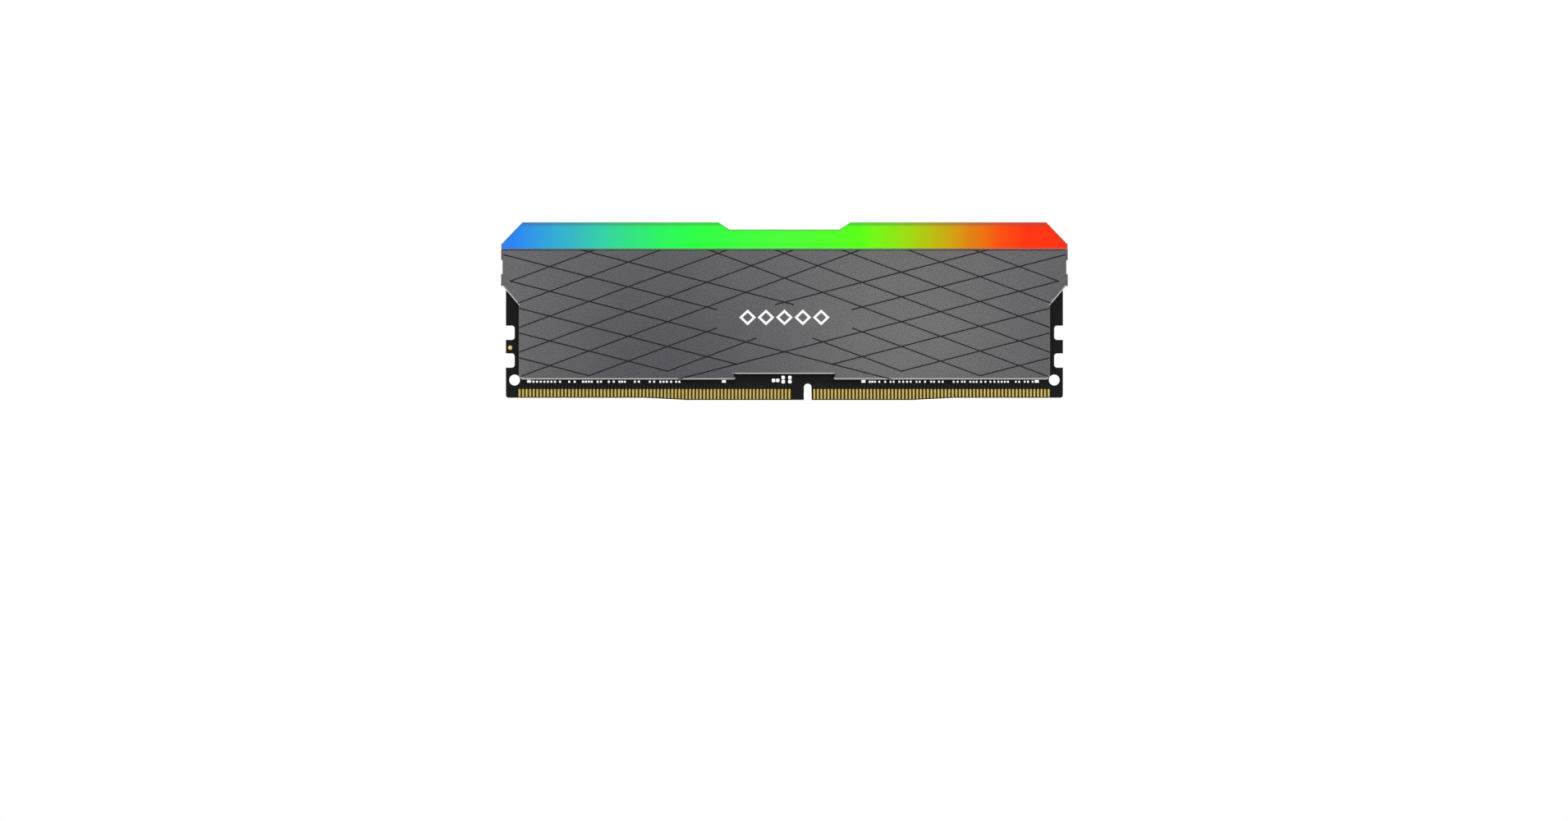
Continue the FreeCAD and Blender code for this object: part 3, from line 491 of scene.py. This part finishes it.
def add_block(shape, low, high):
    """A closed rectangular block between two corners, in millimetres."""
    size = [top - bottom for bottom, top in zip(low, high)]
    middle = [(top + bottom) / 2 for bottom, top in zip(low, high)]
    matrix = Matrix.Translation(Vector(middle) * MM) @ Matrix.Diagonal((*(Vector(size) * MM), 1))
    bmesh.ops.create_cube(shape, size=1.0, matrix=matrix)


def add_disc(shape, middle, radius, thickness):
    """A short round post along Y round a middle, in millimetres."""
    turn = Matrix.Rotation(math.pi / 2, 4, "X")
    matrix = Matrix.Translation(Vector(middle) * MM) @ turn
    bmesh.ops.create_cone(
        shape,
        cap_ends=True,
        segments=16,
        radius1=radius * MM,
        radius2=radius * MM,
        depth=thickness * MM,
        matrix=matrix,
    )


def make_tracks(name, side, look):
    """Copper tracks under the lacquer of one face: one up from each contact, to a covered via."""
    track_half, track_height = 0.06, 0.02
    via_radius, via_height = 0.19, 0.03
    via_levels = (3.1, 3.75, 3.4)
    face = side * BOARD_FACE
    depths = sorted((face, face + side * track_height))
    shape = bmesh.new()
    for first, count in CONTACT_GROUPS:
        for place in range(count):
            across = first + place * CONTACT_PITCH
            level = via_levels[place % len(via_levels)]
            low = (across - track_half, depths[0], CONTACT_TOP)
            high = (across + track_half, depths[1], level)
            add_block(shape, low, high)
            middle = (across, face + side * via_height / 2, level)
            add_disc(shape, middle, via_radius, via_height)
    mesh = bpy.data.meshes.new(name)
    shape.to_mesh(mesh)
    shape.free()
    mesh.materials.append(look.material)
    tracks = new_object(name, mesh)
    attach(tracks, BODY)


def make_floor():
    """A plain pale floor, round and wide enough to fill every view, just under the module."""
    radius = 2.4
    sides = 96
    drop = 0.05
    shape = bmesh.new()
    bmesh.ops.create_circle(shape, cap_ends=True, segments=sides, radius=radius)
    mesh = bpy.data.meshes.new("floor")
    shape.to_mesh(mesh)
    shape.free()
    floor = new_object("floor", mesh)
    floor.location.z = -drop * MM
    look = Look("pale_floor", Roughness=0.9)
    look.set("Specular IOR Level", 0.0)
    look.set("Base Color", linear(238, 238, 238))
    look.set("Emission Color", linear(255, 255, 255))
    look.set("Emission Strength", 0.5)
    mesh.materials.append(look.material)


def make_light(name, place, target, size, watts):
    """A soft box, square, of that size and power, that faces target."""
    lamp = bpy.data.lights.new(name, "AREA")
    lamp.size = size
    lamp.energy = watts
    light = new_object(name, lamp)
    light.location = place
    light.rotation_euler = (Vector(target) - Vector(place)).to_track_quat("-Z", "Y").to_euler()
    return light


def make_studio():
    """White all round for the camera, a dim room for the reflections, and soft boxes."""
    room_strength, backdrop_strength = 0.45, 1.0
    world = bpy.data.worlds.new("studio")
    world.use_nodes = True
    bpy.context.scene.world = world
    tree = world.node_tree
    background = tree.nodes["Background"]
    rays = tree.nodes.new("ShaderNodeLightPath")
    strength = tree.nodes.new("ShaderNodeMapRange")
    strength.inputs["To Min"].default_value = room_strength
    strength.inputs["To Max"].default_value = backdrop_strength
    tree.links.new(rays.outputs["Is Camera Ray"], strength.inputs["Value"])
    tree.links.new(strength.outputs["Result"], background.inputs["Strength"])
    background.inputs["Color"].default_value = (1, 1, 1, 1)

    middle = (0, 0, 0.02)
    make_light("key_light", (-0.9, -1.5, 1.2), middle, 1.0, 11)
    make_light("fill_light", (1.3, -1.2, 0.8), middle, 1.0, 5.5)
    make_light("low_light", (0.2, -2.4, 0.5), middle, 0.7, 7)
    make_light("rear_key_light", (0.9, 1.5, 1.2), middle, 1.0, 14)
    make_light("rear_fill_light", (-1.3, 1.2, 0.8), middle, 1.0, 7)


def make_camera():
    """Looks straight at the front of the module from two metres, with a long lens. The lens shift
    puts the module above the middle of the picture."""
    data = bpy.data.cameras.new("camera")
    data.lens = 200
    data.sensor_width = 36
    picture_width = 374.8 * MM
    distance = picture_width * data.lens / data.sensor_width
    camera_across = -0.1 * MM
    camera_height = 4 * MM
    picture_middle = -2.5 * MM
    data.shift_y = (picture_middle - camera_height) / picture_width
    camera = new_object("camera", data)
    camera.location = (camera_across, -SPREADER_FACE * MM - distance, camera_height)
    camera.rotation_euler = (math.pi / 2, 0, 0)
    bpy.context.scene.camera = camera


dress_module()
copper = covered_copper()
make_tracks("front_board_tracks", -1, copper)
make_tracks("rear_board_tracks", 1, copper)
make_floor()
make_studio()
make_camera()
bpy.context.scene.view_settings.view_transform = "Standard"
